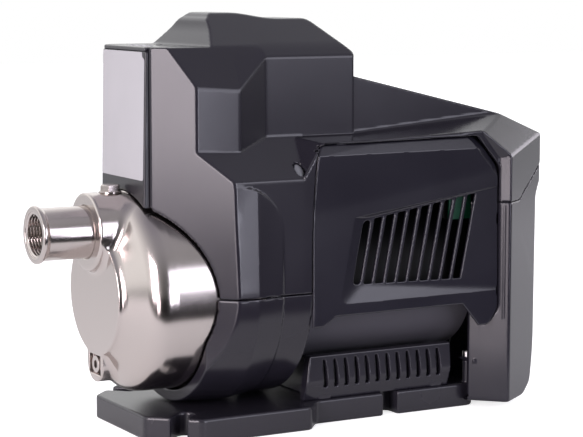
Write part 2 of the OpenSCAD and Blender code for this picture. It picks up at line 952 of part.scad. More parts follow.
module windings() {
  color([0.72, 0.38, 0.16])
    place() {
      ring_x(core_front_x - coil_length, core_front_x, 52, 37.5);
      ring_x(core_rear_x, core_rear_x + coil_length, 52, 37.5);
      for (i = [0:slot_count - 1])
        about_shaft(core_front_x - 1, i * 360 / slot_count)
          translate([0, 38.4, -1.8]) cube([core_rear_x - core_front_x + 2, 10.2, 3.6]);
    }
}

module shield(x0, bearing_x) {
  difference() {
    union() {
      disc_x(x0, x0 + 4, motor_radius - motor_wall - 0.02);
      disc_x(bearing_x - 1, bearing_x + bearing_width, bearing_outer + 4);
    }
    disc_x(bearing_x, bearing_x + bearing_width + 1, bearing_outer + 0.02);
    disc_x(x0 - 10, x0 + 30, 12);
    for (a = [30:60:359])
      about_shaft(x0 - 1, a) translate([0, 40, 0]) rotate([0, 90, 0]) cylinder(r = 8, h = 8);
  }
}

module front_shield() {
  color([0.35, 0.35, 0.36]) place() shield(190.5, front_bearing_x);
}

module rear_shield() {
  color([0.35, 0.35, 0.36]) place() shield(rear_bearing_x, rear_bearing_x);
}

module bearing_outer_rings() {
  color([0.6, 0.6, 0.62])
    place()
      for (x = [front_bearing_x, rear_bearing_x])
        difference() {
          disc_x(x + 0.5, x + bearing_width - 0.5, bearing_outer);
          disc_x(x - 1, x + bearing_width + 1, 15);
          ball_groove(x + bearing_width / 2);
        }
}

module ball_groove(x) {
  about_shaft(x, 0) rotate([0, 90, 0]) rotate_extrude() translate([13.5, 0]) circle(r = 2.5);
}

module bearing_inner_rings() {
  color([0.62, 0.62, 0.64])
    place()
      for (x = [front_bearing_x, rear_bearing_x]) {
        difference() {
          disc_x(x + 0.5, x + bearing_width - 0.5, 12);
          disc_x(x - 1, x + bearing_width + 1, shaft_radius);
          ball_groove(x + bearing_width / 2);
        }
        for (a = [0:45:359])
          about_shaft(x + bearing_width / 2, a) translate([0, 13.5, 0]) sphere(r = 2.45, $fn = 24);
      }
}

module power_board() {
  color([0.04, 0.32, 0.16])
    place() {
      translate([board_front_x, -65.4, 172]) cube([motor_rear_x - 6 - board_front_x, 115.4, 1.6]);
      // riser near the rear end
      translate([motor_rear_x - 26, -67, 150]) cube([20, 1.6, 52]);
    }
}

module capacitors() {
  color([0.1, 0.12, 0.2])
    place()
      for (i = [0:3])
        translate([board_front_x + 16 + i * capacitor_pitch, 22, 173.6]) cylinder(r = 11, h = 36);
}

module heat_sink() {
  color([0.6, 0.6, 0.62])
    place() {
      translate([board_front_x + 6, -44, 173.6]) cube([motor_rear_x - 36 - board_front_x, 46, 4]);
      for (i = [0:7])
        translate([board_front_x + 6, -43.5 + i * 6, 177]) cube([motor_rear_x - 36 - board_front_x, 2, 20]);
    }
}

module terminal_block() {
  color([0.8, 0.8, 0.78])
    place()
      difference() {
        translate([motor_rear_x - 26, -20, 173.6]) cube([18, 40, 16]);
        for (i = [0:3])
          translate([motor_rear_x - 17, -15 + i * 10, 180]) cylinder(r = 2.5, h = 20);
      }
}

module cable_gland() {
  color([0.13, 0.13, 0.14])
    place()
      difference() {
        union() {
          disc_x(overall_length - 24, overall_length - 3, 10, 0, gland_height);
          translate([overall_length - 7.8, 0, gland_height])
            rotate([0, 90, 0]) cylinder(r = 13, h = 5, $fn = 6);
          translate([overall_length - 15.5, 0, gland_height])
            rotate([0, 90, 0]) cylinder(r = 13, h = 4, $fn = 6);
          disc_x(overall_length - 8, overall_length - 0.2, 9, 0, gland_height);
        }
        disc_x(overall_length - 32, overall_length + 8, 5, 0, gland_height);
      }
}

module pressure_sensor() {
  color([0.7, 0.68, 0.6])
    place()
      translate([outlet_x - 12, 0, pump_axis_height + can_radius]) {
        translate([0, 0, -2.4]) cylinder(r = 5, h = 3);
        cylinder(r = 9, h = 12);
        cylinder(r = 6, h = 26);
      }
}

module cover_screws() {
  color([0.75, 0.75, 0.76])
    place()
      for (s = [-1, 1])
        difference() {
          union() {
            translate([post_x, s * post_y, base_height - 2]) cylinder(r = 1.58, h = 24);
            translate([post_x, s * post_y, base_height + 21]) cylinder(r = 3.8, h = 4);
          }
          translate([post_x, s * post_y, base_height + 23]) cylinder(r = 1.7, h = 4, $fn = 6);
        }
}

module motor_shaft() {
  color([0.7, 0.7, 0.72])
    place() {
      disc_x(75, shaft_step_x + 1, shaft_front_radius);
      disc_x(shaft_step_x, fan_x + 12, shaft_radius);
      disc_x(core_front_x + 4, core_rear_x - 4, 14);
      translate([77.5, 0, pump_axis_height]) rotate([0, 90, 0]) cylinder(r = 11, h = 6.5, $fn = 6);
    }
}

module rotor_core() {
  color([0.5, 0.5, 0.52]) place() ring_x(core_front_x + 2, core_rear_x - 2, rotor_radius, 14);
}

module impellers() {
  color([0.66, 0.64, 0.58])
    place()
      for (x = stage_positions) {
        difference() {
          union() {
            disc_x(x, x + 1.6, impeller_radius);
            ring_x(x + 6, x + 7.6, impeller_radius, 16);
            disc_x(x, x == 124 ? 138.4 : x + 19.8, hub_radius);
          }
          disc_x(x - 1, x + 22, shaft_front_radius);
        }
        for (a = [0:60:359])
          about_shaft(x + 1.5, a)
            translate([0, 18, 0]) rotate([25, 0, 0]) translate([0, 0, -1]) cube([4.6, 30, 2]);
      }
}

module seal_head() {
  color([0.12, 0.12, 0.13])
    place() ring_x(138.5, can_back_x + 1.8 - seal_gap, 12.4, shaft_front_radius);
}

module cooling_fan() {
  color([0.13, 0.13, 0.14])
    place() {
      ring_x(fan_x, fan_x + 10, 14, shaft_radius);
      disc_ring_fan();
    }
}

module disc_ring_fan() {
  ring_x(fan_x, fan_x + 2, 54, 13);
  for (a = [0:45:359])
    about_shaft(fan_x + 1.5, a) translate([0, 13, -1]) cube([8.5, 40, 2]);
}

module vent_plug() {
  color([0.8, 0.79, 0.76])
    place()
      translate([vent_x, 0, vent_seat_z]) {
        translate([0, 0, 1.4]) cylinder(d = vent_hex_across_corners, h = 5.1, $fn = 6);
        cylinder(r = 8.6, h = 1.5);
        translate([0, 0, -8]) cylinder(r = plug_radius, h = 9);
      }
}

module drain_plug() {
  color([0.75, 0.72, 0.66])
    place()
      difference() {
        union() {
          disc_x(nose_disc_x + 0.6, nose_disc_x + 4, 6.4, 0, 51);
          disc_x(nose_disc_x + 0.6, nose_disc_x + 12, plug_radius, 0, 51);
        }
        translate([nose_disc_x, 0, 51]) rotate([0, 90, 0]) cylinder(r = 3.2, h = 5, $fn = 6);
      }
}

base_plate();
lower_shroud();
upper_shroud();
front_panel();
rating_plate();
control_panel();
display_window();
key_board();
vent_panel_near();
vent_panel_far();
rear_cover();
ribbed_cradle();
status_lens();
pump_casing();
suction_tube();
discharge_tube();
dome_gasket();
diffusers();
back_plate();
casing_screws();
motor_adapter();
seal_seat();
valve_cage();
motor_casing();
stator_core();
windings();
front_shield();
rear_shield();
bearing_outer_rings();
power_board();
capacitors();
heat_sink();
terminal_block();
cable_gland();
pressure_sensor();
cover_screws();
motor_shaft();
rotor_core();
bearing_inner_rings();
impellers();
seal_head();
cooling_fan();
valve_poppet();
valve_spring();
key_near();
key_middle();
key_far();
key_spring_near();
key_spring_middle();
key_spring_far();
vent_plug();
drain_plug();
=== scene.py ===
import math

import bmesh
import bpy
import numpy as np
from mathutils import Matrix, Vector


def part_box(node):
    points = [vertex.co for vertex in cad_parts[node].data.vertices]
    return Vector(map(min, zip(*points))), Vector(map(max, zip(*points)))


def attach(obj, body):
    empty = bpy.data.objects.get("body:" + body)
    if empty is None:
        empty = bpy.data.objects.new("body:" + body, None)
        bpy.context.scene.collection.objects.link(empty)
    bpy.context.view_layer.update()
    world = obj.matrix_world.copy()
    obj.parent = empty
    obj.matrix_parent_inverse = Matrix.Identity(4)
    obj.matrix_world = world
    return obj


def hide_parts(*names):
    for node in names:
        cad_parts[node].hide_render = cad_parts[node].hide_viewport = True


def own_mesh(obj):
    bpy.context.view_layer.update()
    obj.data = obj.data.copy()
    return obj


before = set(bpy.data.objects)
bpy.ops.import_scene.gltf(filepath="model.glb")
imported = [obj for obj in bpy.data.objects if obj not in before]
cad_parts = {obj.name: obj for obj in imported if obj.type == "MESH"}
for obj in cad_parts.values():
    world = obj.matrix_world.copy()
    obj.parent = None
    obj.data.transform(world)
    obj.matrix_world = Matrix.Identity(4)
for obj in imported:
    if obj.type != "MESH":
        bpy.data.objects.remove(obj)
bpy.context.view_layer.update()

# Studio: a white table top that ends in front of the pump, low softboxes round it, and a dim room.
# The camera sees a white backdrop, and so do metal and glass where they mirror the rear of the room.
camera_place = Vector((-0.7283, -1.3263, 0.3332))
camera_pitch = math.radians(83.1)
camera_turn = math.radians(-29.0)
camera_data = bpy.data.cameras.new("camera")
camera_data.sensor_width = 36.0
camera_data.lens = 121.95
camera = bpy.data.objects.new("camera", camera_data)
camera.location = camera_place
camera.rotation_euler = (camera_pitch, 0.0, camera_turn)
bpy.context.scene.collection.objects.link(camera)
bpy.context.scene.camera = camera
bpy.context.scene.view_settings.view_transform = "Standard"


def softbox(name, place, aim, width, height, power, colour):
    """A rectangular area lamp at place that faces aim."""
    data = bpy.data.lights.new(name, "AREA")
    data.shape = "RECTANGLE"
    data.size, data.size_y, data.energy, data.color = width, height, power, colour
    lamp = bpy.data.objects.new(name, data)
    lamp.location = place
    lamp.rotation_euler = (Vector(aim) - Vector(place)).to_track_quat("-Z", "Y").to_euler()
    bpy.context.scene.collection.objects.link(lamp)


warm, cool = (1.0, 0.9, 0.96), (0.94, 0.93, 1.08)
softbox("left_softbox", (-1.2, -0.66, 0.43), (0.0, 0.0, 0.2), 0.62, 0.8, 16.0, warm)
softbox("front_softbox", (0.74, -1.63, 0.62), (0.0, 0.0, 0.18), 1.1, 0.78, 8.5, cool)
softbox("low_strip", (0.32, -1.72, 0.14), (0.0, 0.0, 0.14), 0.34, 0.5, 4.4, cool)
softbox("low_left", (-0.93, -0.87, -0.04), (0.1, 0.0, 0.12), 0.2, 0.3, 1.3, warm)
softbox("right_softbox", (1.6, -0.1, 0.56), (0.0, 0.0, 0.15), 0.9, 0.6, 5.0, (1.0, 0.93, 1.05))


def reckon(nodes, links, operation, *values):
    """A Math node whose inputs are linked to sockets, or set to numbers. Sums are held to 0 and 1."""
    node = nodes.new("ShaderNodeMath")
    node.operation, node.use_clamp = operation, operation == "ADD"
    for place, value in enumerate(values):
        if isinstance(value, bpy.types.NodeSocket):
            links.new(value, node.inputs[place])
        else:
            node.inputs[place].default_value = value
    return node.outputs["Value"]


def remap(nodes, from_low, from_high, to_low=0.0, to_high=1.0):
    """A Map Range node that takes one span of values to another, held at both ends."""
    node = nodes.new("ShaderNodeMapRange")
    node.inputs["From Min"].default_value, node.inputs["From Max"].default_value = from_low, from_high
    node.inputs["To Min"].default_value, node.inputs["To Max"].default_value = to_low, to_high
    return node


def mirror_seen(nodes, links):
    """A Light Path node, and the sum of its glossy and transmission rays."""
    path = nodes.new("ShaderNodeLightPath")
    glossy, through = path.outputs["Is Glossy Ray"], path.outputs["Is Transmission Ray"]
    return path, reckon(nodes, links, "ADD", glossy, through)


world = bpy.data.worlds.new("studio")
bpy.context.scene.world = world
world.use_nodes = True
nodes, links = world.node_tree.nodes, world.node_tree.links
nodes.clear()
surface = nodes.new("ShaderNodeOutputWorld")
white_room = nodes.new("ShaderNodeBackground")
white_room.inputs["Color"].default_value = (1.0, 1.0, 1.0, 1.0)
dim_room = nodes.new("ShaderNodeBackground")
direction = nodes.new("ShaderNodeTexCoord")
split = nodes.new("ShaderNodeSeparateXYZ")
walls = remap(nodes, -1.0, 0.6, 0.1, 1.7)
ceiling = nodes.new("ShaderNodeMixRGB")
ceiling.inputs["Color2"].default_value = (0.35, 0.34, 0.4, 1.0)
horizon = remap(nodes, -0.05, 0.02, 0.06)
backdrop = remap(nodes, 0.1, 0.5)
mix = nodes.new("ShaderNodeMixShader")
links.new(direction.outputs["Generated"], split.inputs[0])
ahead, up = split.outputs["Y"], split.outputs["Z"]
links.new(ahead, walls.inputs["Value"])
links.new(up, horizon.inputs["Value"])
links.new(reckon(nodes, links, "POWER", up, 2.0), ceiling.inputs["Fac"])
links.new(reckon(nodes, links, "MULTIPLY_ADD", up, -2.0, ahead), backdrop.inputs["Value"])
path, mirrored = mirror_seen(nodes, links)
mirrored = reckon(nodes, links, "MULTIPLY", mirrored, backdrop.outputs["Result"])
links.new(reckon(nodes, links, "ADD", path.outputs["Is Camera Ray"], mirrored), mix.inputs["Fac"])
links.new(walls.outputs["Result"], ceiling.inputs["Color1"])
links.new(ceiling.outputs["Color"], dim_room.inputs["Color"])
links.new(horizon.outputs["Result"], dim_room.inputs["Strength"])
links.new(dim_room.outputs[0], mix.inputs[1])
links.new(white_room.outputs[0], mix.inputs[2])
links.new(mix.outputs[0], surface.inputs["Surface"])

floor_mesh = bpy.data.meshes.new("floor")
floor_corners = [(-6, 1.5, 0), (-0.25, -0.24, 0), (6, -0.24, 0), (6, 6, 0), (-6, 6, 0)]
floor_mesh.from_pydata(floor_corners, [], [(0, 1, 2, 3, 4)])
floor = bpy.data.objects.new("floor", floor_mesh)
bpy.context.scene.collection.objects.link(floor)
paper = bpy.data.materials.new("floor_paper")
paper.use_nodes = True
nodes, links = paper.node_tree.nodes, paper.node_tree.links
nodes.clear()
surface = nodes.new("ShaderNodeOutputMaterial")
matt = nodes.new("ShaderNodeBsdfDiffuse")
matt.inputs["Color"].default_value = (0.8, 0.8, 0.8, 1.0)
glow = nodes.new("ShaderNodeEmission")
glow.inputs["Color"].default_value = (1.0, 1.0, 1.0, 1.0)
glow_strength, mirrored_share = 0.75, 0.25
both = nodes.new("ShaderNodeAddShader")
path, mirrored = mirror_seen(nodes, links)
seen = reckon(nodes, links, "MULTIPLY_ADD", mirrored, mirrored_share, path.outputs["Is Camera Ray"])
links.new(reckon(nodes, links, "MULTIPLY", seen, glow_strength), glow.inputs["Strength"])
links.new(matt.outputs[0], both.inputs[0])
links.new(glow.outputs[0], both.inputs[1])
links.new(both.outputs[0], surface.inputs["Surface"])
floor_mesh.materials.append(paper)

# Base plate: one thick moulding that carries the whole pump. Its front corners are cut at 45
# degrees, its rear half is narrower, and four slots open outwards for the fixing bolts.
base_height = 18.0
base_front_x, base_rear_x = 66.0, 346.0
front_slot, rear_slot, slot_radius = (97, 50), (268, 47), 6.2
post_x, post_y = 341.0, 54.0
top_wall = 4.0
suction_lip_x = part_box("suction_tube")[0][0]


def beyond(u, v, a, b):
    """Distance of (u, v) from the line that runs from a to b, positive on the left of it."""
    du, dv = b[0] - a[0], b[1] - a[1]
    return ((v - a[1]) * du - (u - a[0]) * dv) / np.hypot(du, dv)


def meet(radius, *fields):
    """What all the fields share: their largest value, rounded off where two are nearly equal."""
    value = fields[0]
    for other in fields[1:]:
        near = np.maximum(radius - np.abs(value - other), 0)
        value = np.maximum(value, other) + near**2 / (4 * radius)
    return value


def join(radius, *fields):
    """What any of the fields holds: their smallest value, with a fillet where two are nearly equal."""
    return -meet(radius, *[-f for f in fields])


def slot(x, y, centre, direction, radius):
    """Distance from a round ended slot that starts at centre and runs on along direction."""
    along = np.maximum((x - centre[0]) * direction[0] + (y - centre[1]) * direction[1], 0)
    return np.hypot(x - centre[0] - along * direction[0], y - centre[1] - along * direction[1]) - radius


def box_field(x, y, z, low, high):
    """The largest of the distances past the six faces of a box."""
    return np.maximum.reduce([low[0] - x, x - high[0], low[1] - y, y - high[1], low[2] - z, z - high[2]])


def slope(field, p):
    """The field's slope at the points p, by differences over a fortieth of a millimetre each way."""
    d = 0.025
    return np.stack([(field(*(p + s).T) - field(*(p - s).T)) / (2 * d) for s in np.eye(3) * d], axis=1)


def skin(name, field, low, high, step, material, flat=0.25):
    """The closed surface where field(x, y, z) is zero, in millimetres behind the suction lip.

    The field is worked out on a grid of cubes. Each cube that the surface crosses gets one point,
    the mean of its crossed edges, which then slides along the field's slope onto the surface. Each
    crossed grid edge gets one quad between its four cubes. Flat stretches are dissolved into large
    faces, and the normals are the field's own slope, so edges shade as truly round."""
    low, high = np.asarray(low, float) - 1.37 * step, np.asarray(high, float) + 1.5 * step
    axes = [np.arange(a, b, step) for a, b in zip(low, high)]
    value = field(*np.meshgrid(*axes, indexing="ij"))
    inside = value < 0
    corner = [(i, j, k) for i in (0, 1) for j in (0, 1) for k in (0, 1)]
    nx, ny, nz = (n - 1 for n in inside.shape)
    count = sum(inside[i:nx + i, j:ny + j, k:nz + k].astype(np.int8) for i, j, k in corner)
    cell = np.stack(np.nonzero((count > 0) & (count < 8)), axis=1)
    number = np.full(count.shape, -1, dtype=np.int64)
    number[tuple(cell.T)] = np.arange(len(cell))
    at = {c: value[tuple((cell + c).T)] for c in corner}
    total, crossings = np.zeros((len(cell), 3)), np.zeros(len(cell))
    for a in corner:
        for b in corner:
            if sum(b) == sum(a) + 1 and sum(abs(m - n) for m, n in zip(a, b)) == 1:
                cut = (at[a] < 0) != (at[b] < 0)
                t = np.where(cut, at[a] / np.where(cut, at[a] - at[b], 1.0), 0.0)
                place = np.array(a) + t[:, None] * (np.array(b) - np.array(a))
                total += np.where(cut[:, None], place, 0.0)
                crossings += cut
    points = low + (cell + total / crossings[:, None]) * step
    for _ in range(4):
        g = slope(field, points)
        move = (field(*points.T) / np.maximum((g**2).sum(axis=1), 0.05))[:, None] * g
        points -= np.clip(move, -step, step)
    quads = []
    for axis in range(3):
        b, c = (axis + 1) % 3, (axis + 2) % 3
        ahead = np.take(inside, range(1, inside.shape[axis]), axis)
        here = np.take(inside, range(inside.shape[axis] - 1), axis)
        edge = np.stack(np.nonzero(ahead != here), axis=1)
        edge = edge[(edge[:, b] > 0) & (edge[:, c] > 0)]
        edge = edge[(edge[:, b] < count.shape[b]) & (edge[:, c] < count.shape[c])]
        starts_inside = here[tuple(edge.T)]
        sb, sc = np.eye(3, dtype=int)[b], np.eye(3, dtype=int)[c]
        quad = np.stack([number[tuple((edge - o).T)] for o in (sb + sc, sc, 0 * sb, sb)], axis=1)
        quads.append(np.where(starts_inside[:, None], quad, quad[:, ::-1]))
    quads = np.concatenate(quads)
    mesh = bpy.data.meshes.new(name)
    mesh.from_pydata(points.tolist(), [], quads.tolist())
    work = bmesh.new()
    work.from_mesh(mesh)
    bmesh.ops.dissolve_limit(
        work, angle_limit=math.radians(flat), use_dissolve_boundaries=False,
        verts=work.verts[:], edges=work.edges[:],
    )
    bmesh.ops.triangulate(work, faces=[f for f in work.faces if len(f.verts) > 4])
    work.to_mesh(mesh)
    work.free()
    return finish(name, mesh, material, lambda p: slope(field, p))


def in_frame(points):
    """Points in millimetres behind the suction lip, as metres in the frame."""
    return np.asarray(points, float) * 0.001 + np.array([suction_lip_x, 0, 0])


def finish(name, mesh, material, normal_of=None):
    """Place a mesh made in millimetres behind the lip into the frame, in metres, with its normals."""
    p = np.empty(len(mesh.vertices) * 3)
    mesh.vertices.foreach_get("co", p)
    p = p.reshape(-1, 3)
    normals = normal_of(p) if normal_of else None
    mesh.vertices.foreach_set("co", in_frame(p).ravel())
    mesh.materials.append(material)
    mesh.shade_smooth()
    if normals is not None:
        normals /= np.linalg.norm(normals, axis=1, keepdims=True)
        mesh.normals_split_custom_set_from_vertices(normals.tolist())
    mesh.update()
    piece = bpy.data.objects.new(name, mesh)
    bpy.context.scene.collection.objects.link(piece)
    return piece


def noise(nodes, links, scale, detail):
    """A noise pattern that reads Object coordinates."""
    where = nodes.new("ShaderNodeTexCoord")
    pattern = nodes.new("ShaderNodeTexNoise")
    pattern.inputs["Scale"].default_value, pattern.inputs["Detail"].default_value = scale, detail
    links.new(where.outputs["Object"], pattern.inputs["Vector"])
    return pattern.outputs["Fac"]


def textured(name, colour, metallic, cloud, fine, strength, depth):
    """A body colour with a fine pattern in the bump and a broad one in the roughness.

    Cloud gives the broad pattern's scale and detail and the roughness at its two ends, and fine
    gives the scale and detail of the bump. Also returns the broad pattern and the Principled node."""
    material = bpy.data.materials.new(name)
    material.use_nodes = True
    nodes, links = material.node_tree.nodes, material.node_tree.links
    shader = nodes["Principled BSDF"]
    shader.inputs["Base Color"].default_value = (*colour, 1.0)
    shader.inputs["Metallic"].default_value = metallic
    broad = noise(nodes, links, *cloud[:2])
    gloss = remap(nodes, 0.0, 1.0, *cloud[2:])
    bump = nodes.new("ShaderNodeBump")
    bump.inputs["Strength"].default_value, bump.inputs["Distance"].default_value = strength, depth
    links.new(noise(nodes, links, *fine), bump.inputs["Height"])
    links.new(bump.outputs["Normal"], shader.inputs["Normal"])
    links.new(broad, gloss.inputs["Value"])
    links.new(gloss.outputs["Result"], shader.inputs["Roughness"])
    return material, broad, shader


def moulding(name, colour, roughness, grain=0.00004, patch=0.05, grain_scale=1600.0, metallic=0.0):
    """Moulded plastic: a fine spark grain in the bump, and broad soft patches in gloss and tint."""
    cloud = (14.0, 5.0, roughness - patch, roughness + patch)
    material, broad, shader = textured(name, colour, metallic, cloud, (grain_scale, 2.0), 0.35, grain)
    tint = material.node_tree.nodes.new("ShaderNodeMixRGB")
    tint.inputs["Color1"].default_value = (*[c * 0.88 for c in colour], 1.0)
    tint.inputs["Color2"].default_value = (*[c * 1.14 for c in colour], 1.0)
    material.node_tree.links.new(broad, tint.inputs["Fac"])
    material.node_tree.links.new(tint.outputs["Color"], shader.inputs["Base Color"])
    return material


charcoal = moulding("charcoal_moulding", (0.0155, 0.0142, 0.0205), 0.22)
satin = moulding("satin_moulding", (0.0155, 0.0145, 0.0215), 0.22)
foot = moulding("foot_moulding", (0.0165, 0.0152, 0.021), 0.26)


def base_field(x, y, z):
    """A plan outline with cut corners and open slots, between the floor and the top face."""
    q = np.abs(y)
    cut_corner, step = beyond(x, q, (66, 44.4), (98, 74)), beyond(x, q, (189, 74), (199, 62))
    front = meet(2.5, base_front_x - x, cut_corner, q - 74, step)
    rear = meet(2.5, q - 58, x - base_rear_x, beyond(x, q, (342, 58), (346, 54)), 180 - x)
    plan = join(3.0, front, rear)
    plate = meet(2.0, plan, z - base_height, -z)
    diagonal = math.sqrt(0.5)
    cuts = slot(x, q, front_slot, (-diagonal, diagonal), slot_radius)
    cuts = np.minimum(cuts, slot(x, q, rear_slot, (0, 1), slot_radius))
    hollow = np.minimum.reduce([
        box_field(x, y, z, (start, -38, -9), (end, 38, base_height - top_wall))
        for start, end in ((78, 116), (122, 198), (204, 270), (276, 342))
    ])
    post = meet(1.0, np.hypot(x - post_x, q - post_y) - 3.4, z - 36, 10 - z)
    return join(1.2, meet(1.6, plate, -cuts, -hollow), post)


base = skin("base_moulding", base_field, (66, -74, 0), (346, 74, 36), 1.9, foot)
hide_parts("base_plate")
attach(base, "housing")

# Lower cover: a half round shell moulded in one piece. It wraps the can and the motor's front end,
# stands on the base, and meets the upper cover at a seam just above the pump's axis.
housing_wall = 3.0
front_half_width, side_half_width, rear_half_width = 88.6, 85.0, 81.6
chamfer_start, chamfer_end = (74.5, 40), (99.5, 65)
seam_z, seam_gap = 105.0, 0.3
pump_z = 103.0
can_opening = 75.5
port_x, port_opening = 122.0, 24.0


def walled(outer):
    """A wall of even thickness inside an outline."""
    return meet(1.2, outer, -(outer + housing_wall))


def draw_in(x):
    """How far the bulge stands in from its widest place: a slope of its own in front and behind."""
    widest_x = 138
    return np.maximum(widest_x - x, 0) * 0.07 + np.maximum(x - widest_x, 0) * 0.13


def port_field(x, y, z):
    """Distance from the round opening for the discharge tube, in the far side alone."""
    return np.maximum(np.hypot(x - port_x, z - pump_z) - port_opening, 60 - y)


def lower_field(x, y, z):
    """Two half rounds about the seam, cut off at 45 degrees in front, with a can opening."""
    rho = np.hypot(y, z - seam_z)
    chamfer = beyond(x, np.abs(y), chamfer_start, chamfer_end)
    bulge = meet(1.0, rho - front_half_width + draw_in(x), x - 159)
    outer = meet(1.2, join(1.2, bulge, rho - side_half_width), chamfer, x - 184, 104 - x)
    can = np.hypot(y, z - pump_z) - can_opening
    motor = meet(0.8, np.hypot(y, z - pump_z) - 64, 150 - x)
    inside = np.minimum(meet(0.8, can, x - 181), motor)
    opened = meet(1.0, walled(outer), -inside, z - (seam_z - seam_gap), base_height - z)
    return meet(1.0, opened, -port_field(x, y, z))


lower = skin("lower_cover", lower_field, (100, -89, 16), (185, 89, 106), 1.6, charcoal)
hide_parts("lower_shroud")
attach(lower, "housing")

# Upper cover: the large moulding with the peak over the controls, the stepped flanks, the sloping
# rear deck and the cut rear shoulders. It is one shell of even thickness, open for the side
# panels, the front panel, the controls and the status lens.
ridge_z, deck_z = 309.0, 285.0
lens_x, lens_y, lens_z, lens_ratio = 176.0, -78.2, 196.0, 0.62


def hood_field(x, q, z):
    """Outside of the upper cover. The front block is the head over the bulged lower part, both inside
    the cut corner. The rear block is the skirt under the narrower trunk. A shared face is met once."""
    chamfer = beyond(x, q, chamfer_start, chamfer_end)
    plan = meet(0.7, beyond(x, q, (99.5, 65), (134, 66.4)), beyond(x, q, (134, 66.4), (160, 57)))
    plan = join(0.6, plan, q - 57)
    along = np.clip((x - 134) / 26, 0, 1)
    eave = beyond(q, z, (49.5, 285), (65 - 8 * along, 257 + 20.5 * along))
    section = meet(0.8, beyond(q, z, (17, 309), (49.5, 285)), eave)
    front_rise, rear_fall = beyond(x, z, (119, 285), (133, 309)), beyond(x, z, (159, 309), (177, 304.5))
    peak = np.maximum(meet(2.5, front_rise, z - ridge_z, rear_fall), x - 200)
    back = meet(3.5, 128 - x, z - (ridge_z - 4.5), beyond(x, z, (213, 304.5), (234, 281)))
    profile = join(1.5, np.maximum(z - deck_z, x - 150), join(3.5, peak, back))
    head = meet(1.2, plan, section, profile, x - 235, 150 - z)
    shoulder = beyond(q, z, (65, 210), (front_half_width, 186))
    draft = np.maximum(z - 110, 0) * 0.03
    past, over = x - 123, z - 150
    rounded_end = np.where((past > 0) & (over > 0), np.hypot(past, over), np.maximum(past, over)) - 36
    bulge = meet(1.0, q - front_half_width + draft + draw_in(x), rounded_end)
    lower_part = meet(1.0, shoulder, join(1.2, bulge, q - side_half_width), x - 190, 60 - z)
    front = meet(1.2, 74.5 - x, chamfer, join(1.2, head, lower_part))
    side = beyond(x, q, (186, side_half_width), (350, rear_half_width))
    past_panel = meet(0.6, x - 350.3, beyond(x, z, (333.3, 217.3), (353.6, 193.8)))
    inner_z = 218 + 11.3 * np.clip((x - 231) / 136, 0, 1)
    rear_shoulder = beyond(q, z, (57, inner_z), (85, 214.6 + 3.4 * np.clip((x - 191) / 159, 0, 1)))
    ramp = -0.8 * (x - 177.8) + 0.3 * (q - 78) + 0.52 * (z - 197)
    side = join(0.8, side, (q - rear_half_width - past_panel) * 0.7)
    skirt = meet(1.0, side, rear_shoulder, ramp, 176 - x, 60 - z)
    trunk = meet(0.8, q - 55.8, 200 - x, 180 - z)
    facet = 0.350 * (x - 367.5) + 0.710 * (q - 57) + 0.611 * (z - 229.3)
    deck = np.maximum(beyond(x, z, (231, 262.5), (367.5, 229.5)), beyond(x, z, (367.5, 229.5), (412, 212)))
    taper = beyond(x, q, (357, front_half_width), (412, 50))
    rear_block = meet(1.2, deck, facet, taper, x - 412, join(2.6, skirt, trunk))
    return np.minimum(front, rear_block)


def panel_opening(x, z, grow):
    """Distance from the side panel's outline: the meeting of the lines along its edges."""
    main = meet(
        2.5, beyond(x, z, (184, 100), (184, 160)), beyond(x, z, (184, 160), (188, 206)),
        beyond(x, z, (188, 206), (192, 213)), beyond(x, z, (192, 213), (330, 214.5)),
        beyond(x, z, (330, 214.5), (350.5, 191)), x - 350.5, beyond(x, z, (350.5, 80), (342, 68)), 68 - z,
    )
    upper_half = np.maximum(main, 86 - z)
    foot_right = np.maximum(main, beyond(x, z, (333, 68), (316, 88)))
    foot_left = np.maximum.reduce([main, 79 - z, beyond(x, z, (203, 85), (193, 79)), x - 203])
    return np.minimum.reduce([upper_half, foot_right, foot_left]) - grow


def rear_seam(x):
    """Height of the seam between the upper and the rear cover, which climbs towards the rear."""
    return 163.0 + np.maximum(x - 372, 0) * 25 / 40


def side_opening(x, y, z):
    """Distance from the openings for the side panels, a little larger than the panels."""
    return np.maximum(panel_opening(x, z, 0.45), 74 - np.abs(y))


def upper_field(x, y, z):
    """The hood's wall, cut at the seams and opened for everything that is set into it."""
    q = np.abs(y)
    seam = np.where(x < 352, seam_z, rear_seam(x)) + seam_gap - z
    cut_front = box_field(x, y, z, (60, -38.6, 120), (90, 38.6, 300))
    cut_controls = box_field(x, y, z, (60, -36.4, 270), (117.4, 36.4, 300))
    can = np.maximum(np.hypot(y, z - pump_z) - can_opening, x - 200)
    below_panel = np.maximum.reduce([186 - x, x - 350.9, z - 180, 60 - q])
    across = (x - lens_x) / lens_ratio
    along = ((y - lens_y) + (z - lens_z)) * math.sqrt(0.5)
    lens = np.maximum.reduce([(np.hypot(across, along) - 6.3) * lens_ratio, y + 60, 180 - z])
    opened = meet(
        0.8, walled(hood_field(x, q, z)), seam, -cut_front, -cut_controls, -side_opening(x, y, z),
        -port_field(x, y, z), -lens,
    )
    return np.maximum(meet(2.4, opened, -can), -below_panel)


upper = skin("upper_cover", upper_field, (74, -89, 105), (412, 89, 309), 1.7, charcoal)
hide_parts("upper_shroud")
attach(upper, "housing")

# Rear cover: a flared moulded box that closes the motor's end. It is screwed to two posts of the
# base, and its back carries the air inlet and the cable gland.
gland_z, first_louvre_z, louvre_pitch = 60.0, 84, 12


